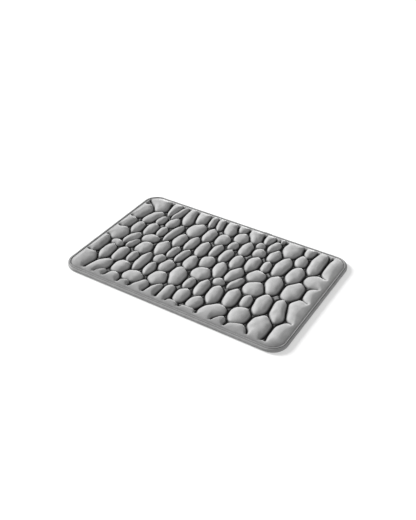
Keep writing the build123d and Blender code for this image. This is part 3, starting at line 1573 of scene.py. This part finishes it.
# A stitch's rings: place as a share of its length, width as a share of its thickness, and how
# far the ring dips, as a share of the dip.
STITCH_RINGS = ((-0.5, 0.45, 1.0), (-0.36, 0.95, 0.35), (0.0, 1.0, 0.0), (0.36, 0.95, 0.35), (0.5, 0.45, 1.0))


@dataclass
class Stitching:
    """The threads of the twin seam on one side, as separate stitches that dip at their ends."""

    plan: MatPlan
    side: SeamSide
    pitch: float = 3.4 * MM
    length: float = 2.8 * MM
    radius: float = 0.3 * MM
    dip: float = 0.35 * MM
    bottom_level: float = 0.42 * MM
    top_depths: tuple[float, float] = (1.0 * MM, 0.85 * MM)
    sides: int = 6

    def _levels(self) -> list[float]:
        """Give the height of the threads' middle line in each row, the outer row first."""
        top = [self.plan.tape_height - depth for depth in self.top_depths]
        return top if self.side is SeamSide.TOP else [self.bottom_level] * len(top)

    def _stitch(self, maker: MeshMaker, rows: list[Stations], stitch: int, inset: float,
                level: float) -> None:
        """Mesh one stitch as a closed tube.

        Args:
            maker: takes the points and faces.
            rows: the stations of each ring, for every stitch.
            stitch: the stitch's number.
            inset: how far inside the mat's edge it lies.
            level: the height of its middle line.
        """
        turn = np.arange(self.sides) * math.tau / self.sides
        dip = -self.dip if self.side is SeamSide.TOP else self.dip
        loops = []
        for row, (_, width, sink) in zip(rows, STITCH_RINGS):
            centre = row.edge[stitch] - row.outward[stitch] * inset
            sideways = np.outer(np.cos(turn), row.outward[stitch]) * self.radius * width
            upwards = level + sink * dip + np.sin(turn) * self.radius * width
            travelled = np.full(self.sides, row.travelled[stitch])
            cloth = np.column_stack([travelled, turn * self.radius, np.zeros(self.sides)])
            loops.append(maker.add(np.column_stack([centre + sideways, upwards]), cloth=cloth))
        for first, second in zip(loops, loops[1:]):
            maker.band(second, first)
        maker.cap(loops[0])
        maker.cap(loops[-1][::-1])

    def build(self) -> bpy.types.Object:
        """Mesh both rows of stitches and dress them.

        Returns:
            The piece.
        """
        maker = MeshMaker(f"{self.side.value.capitalize()}_stitching")
        count = round(self.plan.perimeter / self.pitch)
        middles = np.arange(count) * self.plan.perimeter / count
        rows = [self.plan.stations(middles + share * self.length) for share, _, _ in STITCH_RINGS]
        for inset, level in zip(self.plan.stitch_insets, self._levels()):
            for stitch in range(count):
                self._stitch(maker, rows, stitch, inset, level)
        piece = maker.build()
        finish = ThreadFinish(f"Sewing thread, {self.side.value}")
        settle(piece, f"{self.side.value}_stitching", finish)
        return piece


# ---------------------------------------------------------------------------
# The studio
# ---------------------------------------------------------------------------

@dataclass(frozen=True)
class Lamp:
    """One soft far-off lamp, aimed at the mat, with its angles in degrees."""

    name: str
    turn: float
    rise: float
    spread: float
    strength: float

    def build(self) -> None:
        """Hang the lamp."""
        light = bpy.data.lights.new(self.name, "SUN")
        light.angle = math.radians(self.spread)
        light.energy = self.strength
        lamp = bpy.data.objects.new(self.name, light)
        turn, rise = math.radians(self.turn), math.radians(self.rise)
        place = Vector((math.cos(turn) * math.cos(rise), math.sin(turn) * math.cos(rise), math.sin(rise)))
        lamp.location = place * 2
        lamp.rotation_euler = place.to_track_quat("Z", "Y").to_euler()
        bpy.context.scene.collection.objects.link(lamp)


@dataclass
class Studio:
    """The pale floor, the soft lights and the camera."""

    floor_half: float = 10.0
    floor_drop: float = 0.2 * MM
    floor_white: float = 0.42
    floor_glow: float = 0.42
    sky: float = 0.51
    lamps: tuple[Lamp, ...] = (
        Lamp("Key_lamp", turn=180.0, rise=28.0, spread=20.0, strength=6.3),
        Lamp("Low_lamp", turn=178.0, rise=13.0, spread=16.0, strength=2.4),
        Lamp("Fill_lamp", turn=-12.0, rise=30.0, spread=60.0, strength=0.8),
    )
    turn: float = math.radians(32.03)
    pitch: float = math.radians(36.59)
    camera_place: tuple[float, float, float] = (0.8729, -1.3902, 1.2386)
    lens: float = 49.7

    def build(self) -> None:
        """Set up floor, sky, lamps and camera."""
        self._floor()
        self._sky()
        for lamp in self.lamps:
            lamp.build()
        self._camera()
        bpy.context.scene.view_settings.view_transform = "Standard"

    def _floor(self) -> None:
        """Lay the floor just under the mat."""
        mesh = bpy.data.meshes.new("Floor")
        signs = ((-1, -1), (1, -1), (1, 1), (-1, 1))
        corners = [(x * self.floor_half, y * self.floor_half, -self.floor_drop) for x, y in signs]
        mesh.from_pydata(corners, [], [(0, 1, 2, 3)])
        floor = bpy.data.objects.new("Floor", mesh)
        bpy.context.scene.collection.objects.link(floor)
        paint = bpy.data.materials.new("Pale floor")
        paint.use_nodes = True
        Graph(paint.node_tree).feed(paint.node_tree.nodes["Principled BSDF"], {
            "Base Color": grey(self.floor_white), "Roughness": 0.9, "Specular IOR Level": 0.1,
            "Emission Color": grey(1.0), "Emission Strength": self.floor_glow,
        })
        mesh.materials.append(paint)

    def _sky(self) -> None:
        """Surround the scene with even pale light."""
        world = bpy.data.worlds.new("Studio sky")
        world.use_nodes = True
        back = world.node_tree.nodes["Background"]
        back.inputs["Color"].default_value = grey(1.0)
        back.inputs["Strength"].default_value = self.sky
        bpy.context.scene.world = world

    def _camera(self) -> None:
        """Stand the camera in front and to the right, looking down at the mat."""
        camera = bpy.data.cameras.new("Camera")
        camera.lens = self.lens
        camera.sensor_width = 36.0
        camera.clip_end = 50.0
        holder = bpy.data.objects.new("Camera", camera)
        level = math.cos(self.pitch)
        ahead = Vector((-math.sin(self.turn) * level, math.cos(self.turn) * level, -math.sin(self.pitch)))
        aim = ahead.to_track_quat("-Z", "Y").to_matrix().to_4x4()
        holder.matrix_world = Matrix.Translation(self.camera_place) @ aim
        bpy.context.scene.collection.objects.link(holder)
        bpy.context.scene.camera = holder


def main() -> None:
    """Build the mat from the inside out, after the studio."""
    logging.basicConfig(level=logging.INFO, format="%(name)s: %(message)s")
    Studio().build()
    plan = MatPlan.from_frame()
    makers = (
        FoamCore(plan, PebbleRelief(plan, row_rise=0.0, junction_rise=0.0)),
        PlushCover(plan, PebbleRelief(plan)),
        BackingCloth(plan),
        GripDots(),
        EdgeBinding(plan),
        Stitching(plan, SeamSide.TOP),
        Stitching(plan, SeamSide.BOTTOM),
    )
    for maker in makers:
        piece = maker.build()
        LOG.info("%s: %d faces", piece.name, len(piece.data.polygons))


if __name__ == "__main__":
    main()
